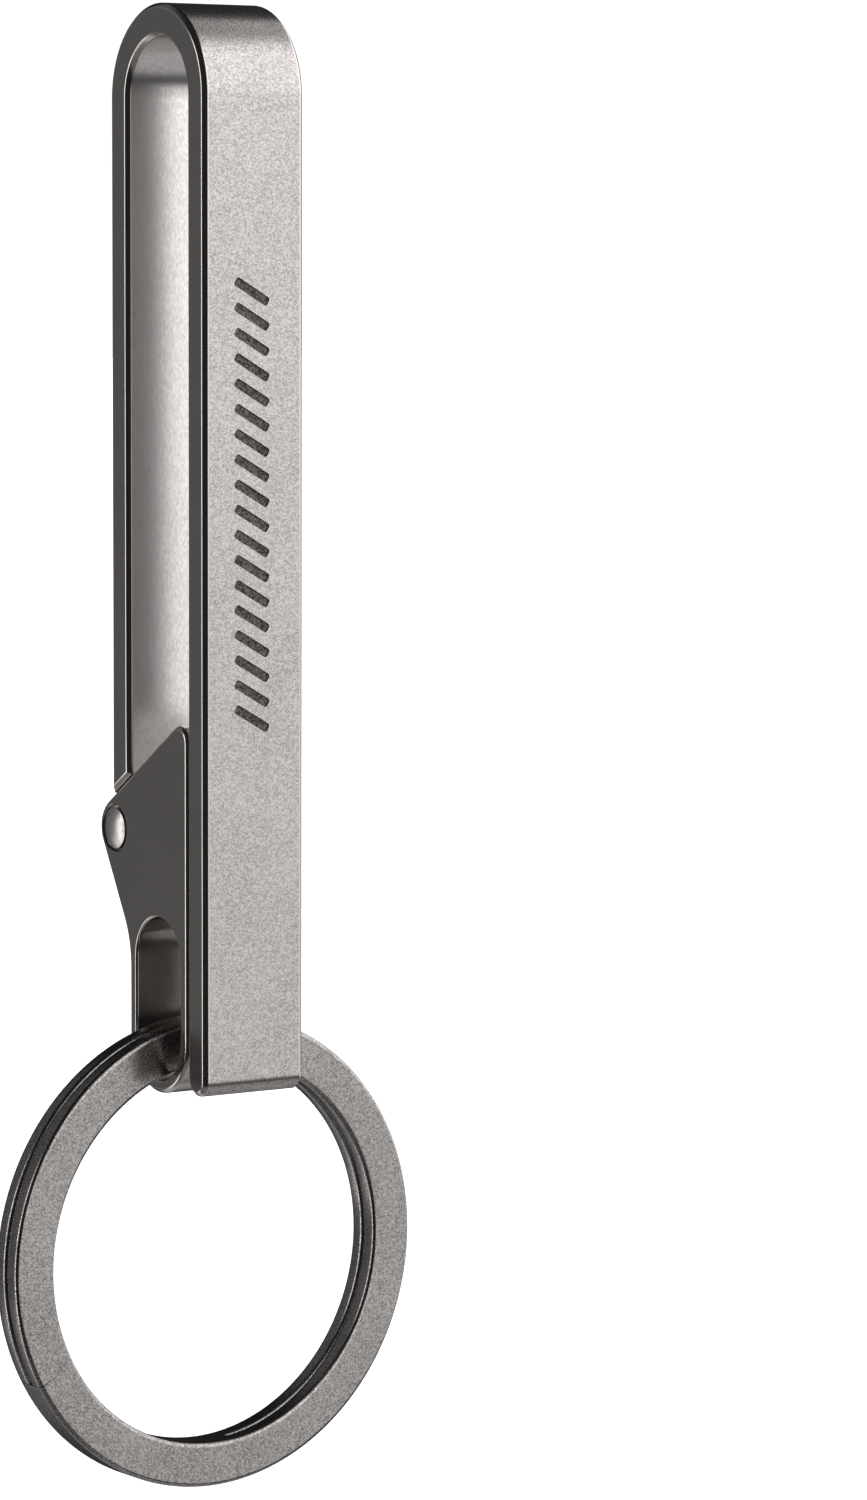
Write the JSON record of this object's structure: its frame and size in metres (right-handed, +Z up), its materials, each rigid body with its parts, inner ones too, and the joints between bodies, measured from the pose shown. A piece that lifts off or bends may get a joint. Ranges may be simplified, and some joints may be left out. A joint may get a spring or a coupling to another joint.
{
  "type": "belt loop key clip",
  "caption": "Slim U-shaped metal spring clip for a belt or strap, closed by a pivoting lever gate whose slotted arm carries a split key ring.",
  "frame": {"origin": "hang point: middle of the inside of the bend, where the belt or strap bears", "axes": "+Z up, from the key ring towards the bend; +X from the short leg towards the long leg; Y along the pivot pin"},
  "size_m": [0.0139, 0.032, 0.0994],
  "materials": {
    "frame_metal": "bead-blasted titanium, satin, with bright chamfers",
    "gate_metal": "bead-blasted titanium, satin, with a milled slot",
    "pin_metal": "polished rivet heads",
    "ring_metal": "tumbled titanium, fine grain"
  },
  "bodies": {
    "frame": {"clip_frame": "frame_metal"},
    "gate": {"gate_lever": "gate_metal", "pivot_pin": "pin_metal"},
    "key_ring": {"split_ring": "ring_metal"}
  },
  "joints": [
    {"name": "gate_pivot", "type": "hinge", "parent": "frame", "child": "gate", "pos_m": [-0.0058, 0, -0.0528], "axis": [0, 1, 0], "range_deg": [0, 133], "deforming": ["clip_frame"]},
    {"name": "ring_swing", "type": "hinge", "parent": "gate", "child": "key_ring", "pos_m": [-0.00003, 0, -0.06632], "axis": [0, -1, 0], "range_deg": [-150, 150]}
  ]
}
